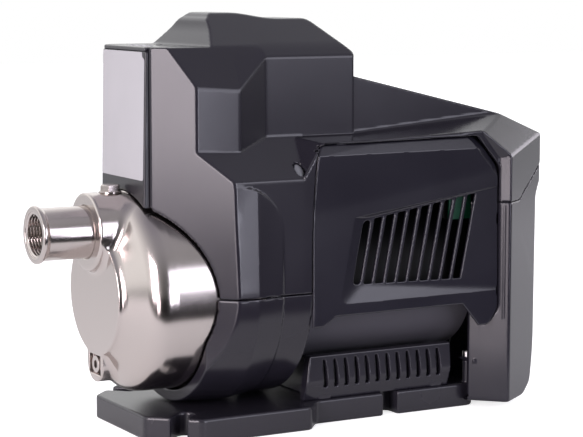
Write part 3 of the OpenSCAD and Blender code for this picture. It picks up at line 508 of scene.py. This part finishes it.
def rear_field(x, y, z):
    """A flared wall from its plan and profile, opened in front, with louvres and a gland hole."""
    q = np.abs(y)
    widest = (357, front_half_width)
    plan = meet(1.8, beyond(x, q, (336, 68), widest), beyond(x, q, widest, (412, 50)))
    back = meet(3.0, beyond(x, z, (405, 170), (403.5, 40)), beyond(x, z, (403.5, 40), (398, 14)))
    back = meet(3.0, back, beyond(x, z, (398, 14), (385, 6)))
    lip = np.maximum.reduce([x - 412, beyond(x, z, (412, 174), (405, 163)), 150 - z])
    outer = meet(2.5, plan, join(2.0, back, lip), 6 - z)
    mouth = box_field(x, y, z, (300, -65, 9), (360, 65, 260))
    foot_gap = box_field(x, y, z, (300, -58.5, -9), (346.3, 58.5, 40))
    opened = meet(1.0, walled(outer), z - rear_seam(x), -mouth, -foot_gap, -side_opening(x, y, z))
    seat = meet(0.8, np.hypot(y, z - gland_z) - 16, 400.5 - x, x - 404.2)
    lug = meet(0.8, 336.5 - x, x - 346, 49.5 - q, q - 70, 36 - z, z - 39)
    rebate = np.minimum(
        box_field(x, q, z, (344, 71, 72), (356, 73.5, 160)),
        box_field(x, q, z, (353.4, 71, 72), (356, 85, 160)),
    )
    gland_hole = np.maximum(np.hypot(y, z - gland_z) - 10.3, 380 - x)
    screw_hole = np.maximum(np.hypot(x - post_x, q - post_y) - 1.9, 20 - z)
    holes = np.minimum(gland_hole, screw_hole)
    for foot_z in range(first_louvre_z, first_louvre_z + 6 * louvre_pitch, louvre_pitch):
        holes = np.minimum(holes, box_field(x, y, z, (380, -32, foot_z), (440, 32, foot_z + 5)))
    return np.maximum(join(0.8, opened, seat, lug, rebate), -holes)


rear = skin("rear_cover_moulding", rear_field, (336, -89, 6), (412, 89, 188), 1.8, charcoal)
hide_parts("rear_cover")
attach(rear, "housing")

# Pump casing: the stainless head, pressed and polished. It has a flat raised disc, a skirted dome,
# a hump that carries the suction tube and the vent, and a small boss with the drain plug.
suction_z, tube_seat = 150.0, 19.62
vent_x, vent_seat_z = 60.5, 177.5
drain_z = 51.0
stainless, _, _ = textured(
    "polished_stainless", (0.55, 0.5, 0.478), 1.0, (45.0, 4.0, 0.126, 0.252), (260.0, 3.0), 0.25, 0.00001
)


def casing_field(x, y, z):
    """Discs and cones about the pump's axis, joined by fillets, with the hump and the boss."""
    rho = np.hypot(y, z - pump_z)
    boss = np.minimum(np.hypot(y, z - 52) - 14, np.maximum(np.abs(y) - 14, np.abs(z - 62) - 10))
    disc = meet(1.2, 46.6 - x, join(2.0, rho - 45, boss), x - 66)
    side = rho - np.minimum(73.4 + np.maximum(x - 66, 0) * 0.04, 74)
    shell = meet(1.0, meet(9.0, beyond(x, rho, (50.6, 46), (64, 70.4)), side), 50.6 - x, x - 150)
    flange = meet(0.8, rho - 80, x - 150, 146 - x)
    about_suction = np.hypot(y, z - suction_z)
    hump = meet(2.5, about_suction - 29, 40 - x, x - 80, rho - 76.5)
    outer = join(5.0, join(4.5, join(1.5, shell, flange), disc), hump)
    inner = meet(2.0, meet(9.0, rho - 71.5, beyond(x, rho, (50.2, 41), (66.6, 67.4))), 50.2 - x)
    seat = box_field(x, y, z, (51.1, -15, vent_seat_z), (69.9, 15, 190))
    bore = np.minimum(np.maximum(about_suction - tube_seat, x - 54), np.maximum(about_suction - 15, x - 70))
    bore = np.maximum(bore, 30 - x)
    port = np.maximum(np.hypot(x - port_x, z - pump_z) - tube_seat, 50 - y)
    vent = np.maximum(np.hypot(x - vent_x, y) - 5.15, 160 - z)
    pocket = box_field(x, y, z, (40, -10, 44), (50.6, 10, 58))
    drain = np.maximum(np.hypot(y, z - drain_z) - 5.15, x - 72)
    cuts = np.minimum.reduce([inner, bore, port, vent, drain])
    return meet(0.6, meet(0.8, outer, -seat, -pocket), -cuts)


casing = skin("steel_casing", casing_field, (40, -80, 23), (150, 90, 184), 1.15, stainless, flat=0.05)
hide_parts("pump_casing")
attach(casing, "housing")

# Suction and discharge tubes: turned stainless sleeves with a rolled lip at the mouth, a collar near
# the casing, and a one inch pipe thread cut inside.
thread_pitch, thread_depth, crest_radius = 2.309, 1.25, 15.15


def turned(name, profile, swell, material, about_y=False):
    """A closed turned skin: every profile point (x, r) swept once round, with r + swell(x, angle)."""
    around = 192
    profile = np.asarray(profile, float)
    angle = np.arange(around) * 2 * np.pi / around
    x = np.repeat(profile[:, :1], around, axis=1)
    r = profile[:, 1:] + swell(x, angle[None, :], profile[:, 1:])
    across, up = r * np.sin(angle), r * np.cos(angle)
    if about_y:
        points = np.stack([port_x + across, front_half_width - x, pump_z + up], axis=2).reshape(-1, 3)
    else:
        points = np.stack([x, -across, suction_z + up], axis=2).reshape(-1, 3)
    i, j = np.meshgrid(np.arange(len(profile)), np.arange(around), indexing="ij")
    i2, j2 = (i + 1) % len(profile), (j + 1) % around
    corners = [i * around + j, i * around + j2, i2 * around + j2, i2 * around + j]
    quads = np.stack(corners, axis=2).reshape(-1, 4)
    mesh = bpy.data.meshes.new(name)
    mesh.from_pydata(points.tolist(), [], quads.tolist())
    work = bmesh.new()
    work.from_mesh(mesh)
    bmesh.ops.recalc_face_normals(work, faces=work.faces[:])
    work.to_mesh(mesh)
    work.free()
    piece = finish(name, mesh, material)
    piece.data.set_sharp_from_angle(angle=math.radians(40))
    return piece


def rounded(points, radius, steps=4):
    """A closed outline whose corners are replaced by arcs of about the radius given for each."""
    result = []
    for k, (corner, r) in enumerate(zip(points, radius)):
        corner = np.asarray(corner, float)
        before = np.asarray(points[k - 1], float) - corner
        after = np.asarray(points[(k + 1) % len(points)], float) - corner
        start, end = before / np.linalg.norm(before) * r, after / np.linalg.norm(after) * r
        for t in np.linspace(0, 1, steps + 1) if r else [0.5]:
            result.append(corner + start * (1 - t) ** 2 + end * t**2)
    return result


def tube_profile(length, collar):
    """Outer wall from mouth to root, then the bore back to the mouth with many points for the thread."""
    outer = [(0, 17.2), (0, 21.15), (3.2, 21.15), (5.0, 19.3), (collar, 19.3), (collar + 0.8, 20.4)]
    outer += [(length - 1, 20.4), (length, 19.6), (length, 14.0)]
    radius = [0.6, 1.3, 1.3, 1.0, 0.3, 0.3, 0.3, 0.0, 0.0]
    wall = rounded(outer, radius)
    bore = [(x, 14.0) for x in np.linspace(length - 2, 19.2, 12)]
    thread = [(x, crest_radius) for x in np.arange(18.6, 0.9, -0.21)]
    return wall + [np.array(p) for p in bore + thread]


def thread_swell(x, angle, r):
    """A helix: the wall rises and falls once per pitch along x, shifted by one pitch per turn."""
    phase = (x / thread_pitch + angle / (2 * np.pi)) % 1.0
    tooth = np.clip(np.abs(phase * 2 - 1) * 1.6 - 0.3, 0, 1)
    here = (np.abs(r - crest_radius) < 0.01) * np.clip((19.0 - x) / 1.5, 0, 1)
    return here * tooth * thread_depth


suction = turned("suction_sleeve", tube_profile(54.0, 40.5), thread_swell, stainless)
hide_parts("suction_tube")
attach(suction, "housing")
discharge = turned("discharge_sleeve", tube_profile(28.6, 24.0), thread_swell, stainless, about_y=True)
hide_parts("discharge_tube")
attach(discharge, "housing")

# Vent plug: a stainless hexagon head with chamfered corners over a thin washer. It screws down on its
# flat seat in the hump, and lets the air out of the pump.


def hexagon(u, v, across_corners):
    """Distance outside a hexagon with a corner on the u axis."""
    flat = across_corners * math.sqrt(3) / 4
    turns = np.radians([30, 90, 150])
    return np.maximum.reduce([np.abs(u * math.cos(a) + v * math.sin(a)) - flat for a in turns])


def vent_field(x, y, z):
    """A hexagon prism under a wide cone, a washer and a round shank, joined along one axis."""
    rho = np.hypot(x - vent_x, y)
    above = z - vent_seat_z
    cone = (rho - 7.9 + (above - 5.6) * 1.7) * 0.5
    head = meet(0.35, hexagon(x - vent_x, y, 15.5), above - 6.5, 1.4 - above, cone)
    washer = meet(0.4, rho - 8.6, above - 1.5, -above)
    shank = meet(0.4, rho - 5, above - 1, -8 - above)
    return join(0.3, head, washer, shank)


vent = skin("vent_hexagon", vent_field, (51, -9, 169), (70, 9, 184), 0.45, stainless, flat=0.1)
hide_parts("vent_plug")
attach(vent, "vent_plug_body")

# Drain plug: a small round stainless plug with a hexagon socket. It screws into the foot of the boss,
# inside its square recess.


def drain_field(x, y, z):
    """A flange and a shank about the drain axis, with a hexagon pocket in the front."""
    rho = np.hypot(y, z - drain_z)
    body = join(0.4, meet(0.5, rho - 6.4, 47.2 - x, x - 50.6), meet(0.4, rho - 5, 47.2 - x, x - 58.6))
    pocket = np.maximum(hexagon(z - drain_z, y, 6.4), x - 51.6)
    return meet(0.3, body, -pocket)


drain = skin("drain_screw", drain_field, (47, -7, 44), (59, 7, 58), 0.45, stainless, flat=0.1)
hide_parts("drain_plug")
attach(drain, "drain_plug_body")

# Front panel: a shallow moulded tray that carries the rating plate. Its lower edge arches over the
# hump, and its two lower corners reach down to the can.


def panel_face(z):
    """Place along the pump of the front panel's face, which leans back a little."""
    return 70.3 + (z - 178) * 2.2 / 104


def front_field(x, y, z):
    """A rounded slab with a leaning face, hollow behind, less round arches for the hump and the can."""
    slab = meet(1.6, panel_face(z) - x, np.abs(y) - 37.8, 166 - z)
    slab = meet(0.8, slab, z - 282, x - 96)
    hollow = box_field(x, y, z, (76.9, -35.3, 182), (120, 35.3, 300))
    arch = np.minimum(np.hypot(y, z - suction_z) - 29.6, np.hypot(y, z - pump_z) - 75.8)
    return meet(0.8, slab, -hollow, -arch)


front_grey = moulding("front_grey", (0.016, 0.015, 0.019), 0.3)
front = skin("front_tray", front_field, (70, -38, 166), (96, 38, 282), 1.2, front_grey)
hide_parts("front_panel")
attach(front, "housing")

# Rating plate: a bare pale film stuck to the front panel. Its outline is rounded, with a small notch
# in the corner at the top on the near side.
plate_corners = [(-36.4, 189), (36.4, 189), (36.4, 281.5), (-32.6, 281.5), (-32.6, 278.4), (-36.4, 276.2)]
edge = np.array(rounded(plate_corners, [2.0, 2.0, 2.0, 0.8, 1.2, 0.8], 5))
face_lift, back_lift = 0.3, 0.02
plate_points = np.concatenate([
    np.column_stack([panel_face(edge[:, 1]) - lift, edge]) for lift in (face_lift, back_lift)
])
count = len(edge)
here, after = np.arange(count), np.roll(np.arange(count), -1)
plate_faces = [here[::-1].tolist(), (here + count).tolist()]
plate_faces += np.column_stack([here, after, after + count, here + count]).tolist()
plate_mesh = bpy.data.meshes.new("plate_film")
plate_mesh.from_pydata(plate_points.tolist(), [], plate_faces)
plate_work = bmesh.new()
plate_work.from_mesh(plate_mesh)
bmesh.ops.recalc_face_normals(plate_work, faces=plate_work.faces[:])
plate_work.to_mesh(plate_mesh)
plate_work.free()
plate_film = moulding("plate_film", (0.38, 0.375, 0.395), 0.38, grain=0.00001, patch=0.03)
plate = finish("bare_plate", plate_mesh, plate_film)
plate.data.set_sharp_from_angle(angle=math.radians(30))
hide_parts("rating_plate")
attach(plate, "housing")

# Control panel: the flat glossy insert in the top, with a sunk window and three round keys. Its posts
# reach down to the key board, and each key stands on a spring.
key_x, key_pitch = 86.0, 12.0


def control_field(x, y, z):
    """A rounded slab with posts under it, less the window's pocket and the three key holes."""
    slab = meet(0.9, 72.7 - x, x - 117.2, np.abs(y) - 36, z - deck_z, deck_z - 3 - z)
    across = np.abs(y) - 26
    post = np.minimum(np.hypot(x - 81, across), np.hypot(x - 109, across)) - 2.2
    post = meet(0.3, post, z - (deck_z - 2), deck_z - 9.4 - z)
    pocket = box_field(x, y, z, (95, -15, deck_z - 1.2), (111, 15, deck_z + 3))
    key = np.hypot(x - key_x, y - key_pitch * np.clip(np.round(y / key_pitch), -1, 1)) - 4.25
    key = np.maximum(key, deck_z - 4 - z)
    return meet(0.5, join(0.4, slab, post), -pocket, -key)


def key_field(x, y, z):
    """A round cap with a dished top on a wider foot."""
    rho = np.hypot(x - key_x, y)
    dish = z - (deck_z + 0.5) + 0.35 * np.clip(1 - (rho / 3.4) ** 2, 0, 1)
    cap = meet(0.5, rho - 4, dish, deck_z - 4.4 - z)
    return join(0.2, cap, meet(0.3, rho - 5.2, z - (deck_z - 3), deck_z - 4.4 - z))


glossy_top = moulding("glossy_top", (0.02, 0.019, 0.024), 0.19, grain=0.000002)
control = skin("control_top", control_field, (72, -36, 275), (118, 36, 285), 0.8, glossy_top)
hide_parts("control_panel")
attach(control, "housing")
key_plastic = moulding("key_plastic", (0.5, 0.5, 0.52), 0.35)
for name, key_y in (("near", -key_pitch), ("middle", 0.0), ("far", key_pitch)):
    cap = skin(
        "key_cap_" + name, lambda x, y, z: key_field(x, y - key_y, z),
        (80, key_y - 6, 280), (92, key_y + 6, 286), 0.4, key_plastic, flat=0.1,
    )
    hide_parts("key_" + name)
    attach(cap, name + "_key")

# Side panels: each is a leaning moulded sheet with a crease across it, a bevel along its top, and a
# slanted grille of ten slots at the foot of a shallow recess.


def grille(x, z):
    """Distance from the ten slanted slots, which grow longer towards the rear."""
    value = np.full_like(x, 1e3)
    for i in range(10):
        low_left, high_left = (219.5 + 9.9 * i, 108.3 - 0.2 * i), (229 + 10.4 * i, 155 + 1.65 * i)
        low_right, high_right = (low_left[0] + 7.2, low_left[1]), (high_left[0] + 7.2, high_left[1] + 1)
        corners = [low_left, high_left, high_right, low_right]
        edges = [beyond(x, z, a, b) for a, b in zip(corners, corners[1:] + corners[:1])]
        value = np.minimum(value, meet(4.0 if i == 0 else 1.2, *edges))
    return value


def panel_relief(x, z):
    """How far the face lies behind its plane: a valley at the crease, the top bevel and the recess."""
    above = beyond(x, z, (187, 164.2), (350.6, 189.4))
    lean = np.maximum(-meet(0.2, 0.035 * above - 1.4, -0.018 * above - 1.4), 0)
    bevel = np.maximum(z - 205.5, 0) * 0.38
    corner = np.maximum(beyond(x, z, (325.5, 210.6), (346, 187.1)), 0) * 0.45
    left = -meet(9.0, beyond(x, z, (207.5, 95), (220.5, 158.8)), 94.5 - z) * 0.2
    top = -beyond(x, z, (220.5, 158.8), (331, 173.0)) * 0.9
    deepest = 2.9
    floor_depth = np.clip(deepest - (x - 216) * 0.019, 0.0, deepest)
    recess = np.maximum(-meet(0.5, -left, -top, -floor_depth), 0)
    return lean + bevel + corner + recess


def panel_field(x, y, z):
    """A sheet that follows the relief, cut to its outline, with slots, notches and hidden tabs."""
    q = np.abs(y)
    side = beyond(x, q, (186, side_half_width), (350, rear_half_width))
    face = side + panel_relief(x, z)
    sheet = meet(0.8, face, -(face + 2.6))
    notch = np.minimum(
        box_field(x, q, z, (349.3, 60, 146.5), (360, 99, 153.5)),
        box_field(x, q, z, (349.3, 60, 91), (360, 99, 97)),
    )
    cut = meet(1.4, sheet, panel_opening(x, z, 0.0))
    cut = meet(0.7, cut, -grille(x, z), -notch)
    tab = np.full_like(x, 1e3)
    for start in (206, 262, 312):
        tab = np.minimum(tab, box_field(x, side, z, (start, -9.4, 203), (start + 8, -4.6, 211)))
        tab = np.minimum(tab, box_field(x, side, z, (start, -5.2, 208), (start + 8, -3.6, 213.6)))
    return np.minimum(cut, tab)


for name, low, high in (("near", -86, -74), ("far", 74, 86)):
    sheet = skin("side_panel_" + name, panel_field, (183, low, 67), (351, high, 216), 0.85, satin, flat=0.1)
    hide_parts("vent_panel_" + name)
    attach(sheet, "housing")

# Ribbed cradle: one moulding under the motor, with two cross walls cut to the drum. Each of its
# leaning sides has a row of twelve slanted scoops.
scoop_pitch, last_scoop = 9.2, 11


def cradle_field(x, y, z):
    """Two leaning skirts and two cross walls, cut by the motor and by twelve scoops a side."""
    q = np.abs(y)
    lean, foot_line = beyond(q, z, (58.6, 53), (60.2, 32)), beyond(q, z, (60.3, 32), (55, 18))
    ends = np.maximum(beyond(x, z, (190.5, 18), (196, 53)), beyond(x, z, (323.5, 53), (327, 18)))
    skirt = meet(1.2, lean, foot_line, z - 52.5, base_height - z, 50.5 - q, 192 - x, x - 322, ends)
    wall = np.minimum(np.abs(x - 211), np.abs(x - 311)) - 5
    wall = meet(0.8, wall, q - 56, z - 48, base_height - z)
    along = x + (z - 48) * 0.06 - 208.5
    place = np.abs(along - scoop_pitch * np.clip(np.round(along / scoop_pitch), 0, last_scoop))
    scoop = meet(0.8, place - 1.7 + np.maximum(z - 42, 0) * 0.12, z - 49, 54.6 - q, 28 - z)
    drum = np.hypot(y, z - pump_z) - 62
    return meet(0.5, meet(0.7, join(0.8, skirt, wall), -scoop), -drum)


cradle = skin("cradle_moulding", cradle_field, (190, -62, 18), (324, 62, 53), 0.95, charcoal)
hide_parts("ribbed_cradle")
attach(cradle, "housing")

# Status lens: a small oval light guide of frosted plastic in the near shoulder. It is set in its hole
# from behind, where its wider flange holds it.


def lens_field(x, y, z):
    """A domed oval pillar on a wider oval flange, about an axis that leans 45 degrees."""
    tilt = math.radians(45.5)
    out_y, out_z = -math.sin(tilt), math.cos(tilt)
    height = (y - lens_y) * out_y + (z - lens_z) * out_z
    along = (y - lens_y) * out_z - (z - lens_z) * out_y
    oval = np.hypot((x - lens_x) / lens_ratio, along)
    pillar = meet(0.8, (oval - 6) * lens_ratio, height + 0.3 + 0.02 * oval**2, -3.6 - height)
    flange = meet(0.3, (oval - 7.6) * lens_ratio, height + 2.8, -3.9 - height)
    return join(0.2, pillar, flange)


frosted = moulding("frosted_lens", (0.16, 0.165, 0.18), 0.2)
lens = skin("lens_guide", lens_field, (170, -87, 187), (182, -69, 205), 0.5, frosted, flat=0.1)
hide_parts("status_lens")
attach(lens, "housing")

# Inner pieces, with the display window and the cable gland: the pump's stages, its shaft seal and
# valve, the motor, the boards and the screws. Pieces of like material share a finish.


def solid_finish(name, colour, roughness, metallic, scale, depth, variation):
    """A moulding's patches with a bump of its own scale. A dull finish also mirrors less."""
    material = moulding(name, colour, roughness, depth, variation, scale, metallic)
    shader = material.node_tree.nodes["Principled BSDF"]
    shader.inputs["Specular IOR Level"].default_value = 0.15 if roughness > 0.48 else 0.5
    return material


def painted_shade_above(material, shade_colour, split_z):
    """The same finish, which turns into a painted shade colour across 8 mm about a height."""
    nodes, links = material.node_tree.nodes, material.node_tree.links
    base_colour = nodes["Principled BSDF"].inputs["Base Color"]
    where = nodes.new("ShaderNodeTexCoord")
    parts = nodes.new("ShaderNodeSeparateXYZ")
    above = remap(nodes, split_z - 0.004, split_z + 0.004)
    mix = nodes.new("ShaderNodeMixRGB")
    mix.inputs["Color2"].default_value = (*shade_colour, 1.0)
    links.new(where.outputs["Object"], parts.inputs[0])
    links.new(parts.outputs["Z"], above.inputs["Value"])
    links.new(above.outputs["Result"], mix.inputs["Fac"])
    links.new(base_colour.links[0].from_socket, mix.inputs["Color1"])
    links.new(mix.outputs["Color"], base_colour)
    return material


# The motor's paint; its upper part is turned into painted shade below.
motor_paint = solid_finish("motor_paint", (0.085, 0.082, 0.095), 0.5, 0.0, 1200.0, 0.00001, 0.05)
groups = {
    ("display_window",):
        solid_finish("smoked_window", (0.008, 0.008, 0.01), 0.08, 0.0, 900.0, 0.000002, 0.02),
    # The motor casing is painted near black above 92 mm as shade inside the hood, and keeps its lighter
    # paint below.
    ("motor_casing",):
        painted_shade_above(motor_paint, (0.003, 0.003, 0.003), 0.092),
    ("power_board", "key_board"):
        solid_finish("board_laminate", (0.004, 0.06, 0.028), 0.35, 0.0, 700.0, 0.00001, 0.05),
    ("dome_gasket", "seal_head"):
        solid_finish("seal_rubber", (0.012, 0.012, 0.012), 0.6, 0.0, 800.0, 0.00003, 0.05),
    ("diffusers", "impellers", "valve_poppet", "valve_cage"):
        solid_finish("filled_plastic", (0.42, 0.42, 0.38), 0.45, 0.0, 900.0, 0.00002, 0.05),
    ("motor_adapter", "front_shield", "rear_shield"):
        solid_finish("cast_alloy", (0.42, 0.42, 0.43), 0.45, 1.0, 500.0, 0.00008, 0.08),
    ("back_plate",):
        solid_finish("plate_steel", (0.6, 0.58, 0.56), 0.25, 1.0, 300.0, 0.00001, 0.05),
    ("seal_seat",):
        solid_finish("lapped_ceramic", (0.72, 0.7, 0.66), 0.2, 0.0, 1500.0, 0.00001, 0.03),
    ("stator_core", "rotor_core"):
        solid_finish("laminations", (0.3, 0.3, 0.31), 0.5, 1.0, 2500.0, 0.00006, 0.05),
    ("windings",):
        solid_finish("enamelled_copper", (0.55, 0.2, 0.07), 0.35, 0.9, 1800.0, 0.00012, 0.05),
    ("capacitors",):
        solid_finish("capacitor_sleeve", (0.03, 0.035, 0.06), 0.3, 0.0, 800.0, 0.00001, 0.05),
    ("heat_sink",):
        solid_finish("extruded_alloy", (0.55, 0.55, 0.56), 0.4, 1.0, 600.0, 0.00003, 0.06),
    ("terminal_block",):
        solid_finish("terminal_plastic", (0.55, 0.55, 0.5), 0.45, 0.0, 900.0, 0.00002, 0.05),
    ("cable_gland", "cooling_fan"):
        solid_finish("fan_plastic", (0.014, 0.014, 0.015), 0.4, 0.0, 1200.0, 0.00004, 0.05),
    ("pressure_sensor",):
        solid_finish("turned_brass", (0.6, 0.45, 0.2), 0.3, 1.0, 900.0, 0.00001, 0.06),
    ("casing_screws", "cover_screws", "motor_shaft", "bearing_inner_rings", "bearing_outer_rings"):
        solid_finish("bright_screw_steel", (0.68, 0.67, 0.66), 0.25, 1.0, 900.0, 0.00001, 0.06),
}
for nodes, material in groups.items():
    for node in nodes:
        mesh = bpy.data.objects[node].data
        mesh.materials.clear()
        mesh.materials.append(material)

# Springs: the coil that closes the non-return valve in the suction tube, and a small coil under each
# key. Each is a round wire wound from its free end to its fixed end.
spring_steel = solid_finish("spring_steel", (0.6, 0.59, 0.58), 0.3, 1.0, 900.0, 0.00001, 0.06)
valve_length, valve_travel = 15.0, 8.0
key_length, key_travel = 5.0, 0.8


def coil(name, free_end, fixed_end, radius, wire, turns):
    """A helix: a circle of eight points about the wire, carried along a circle that climbs evenly from
    the free end to the fixed end, a twentieth of a millimetre short of both."""
    free_end, fixed_end = np.array(free_end, float), np.array(fixed_end, float)
    length = np.linalg.norm(fixed_end - free_end)
    axis = (fixed_end - free_end) / length
    side = np.array((0.0, 1.0, 0.0))
    angle = np.linspace(0, 2 * np.pi * turns, 20 * turns + 1)[:, None, None]
    outward = np.cos(angle) * side + np.sin(angle) * np.cross(axis, side)
    around = (np.arange(8) * np.pi / 4)[None, :, None]
    inset = wire + 0.05
    along = inset + (length - 2 * inset) * angle / angle[-1]
    section = wire * (np.cos(around) * outward + np.sin(around) * axis)
    points = free_end + along * axis + radius * outward + section
    last = 8 * (len(points) - 1)
    ring, k = np.meshgrid(np.arange(0, last, 8), np.arange(8), indexing="ij")
    after = (k + 1) % 8
    quads = np.stack([ring + k, ring + 8 + k, ring + 8 + after, ring + after], axis=2).reshape(-1, 4)
    ends = [list(range(8)), list(range(last + 7, last - 1, -1))]
    mesh = bpy.data.meshes.new(name)
    mesh.from_pydata(points.reshape(-1, 3).tolist(), [], ends + quads.tolist())
    return finish(name, mesh, spring_steel)


valve_end = (43, 0, suction_z)
valve_coil = coil("valve_coil", (43 - valve_length, 0, suction_z), valve_end, 3.1, 0.5, 5)
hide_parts("valve_spring")
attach(valve_coil, "housing")
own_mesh(valve_coil)
for name, key_y in (("near", -key_pitch), ("middle", 0.0), ("far", key_pitch)):
    key_end = (key_x, key_y, 275.6)
    key_coil = coil("key_coil_" + name, (key_x, key_y, 275.6 + key_length), key_end, 2.0, 0.4, 4)
    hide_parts("key_spring_" + name)
    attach(key_coil, "housing")
    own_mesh(key_coil)
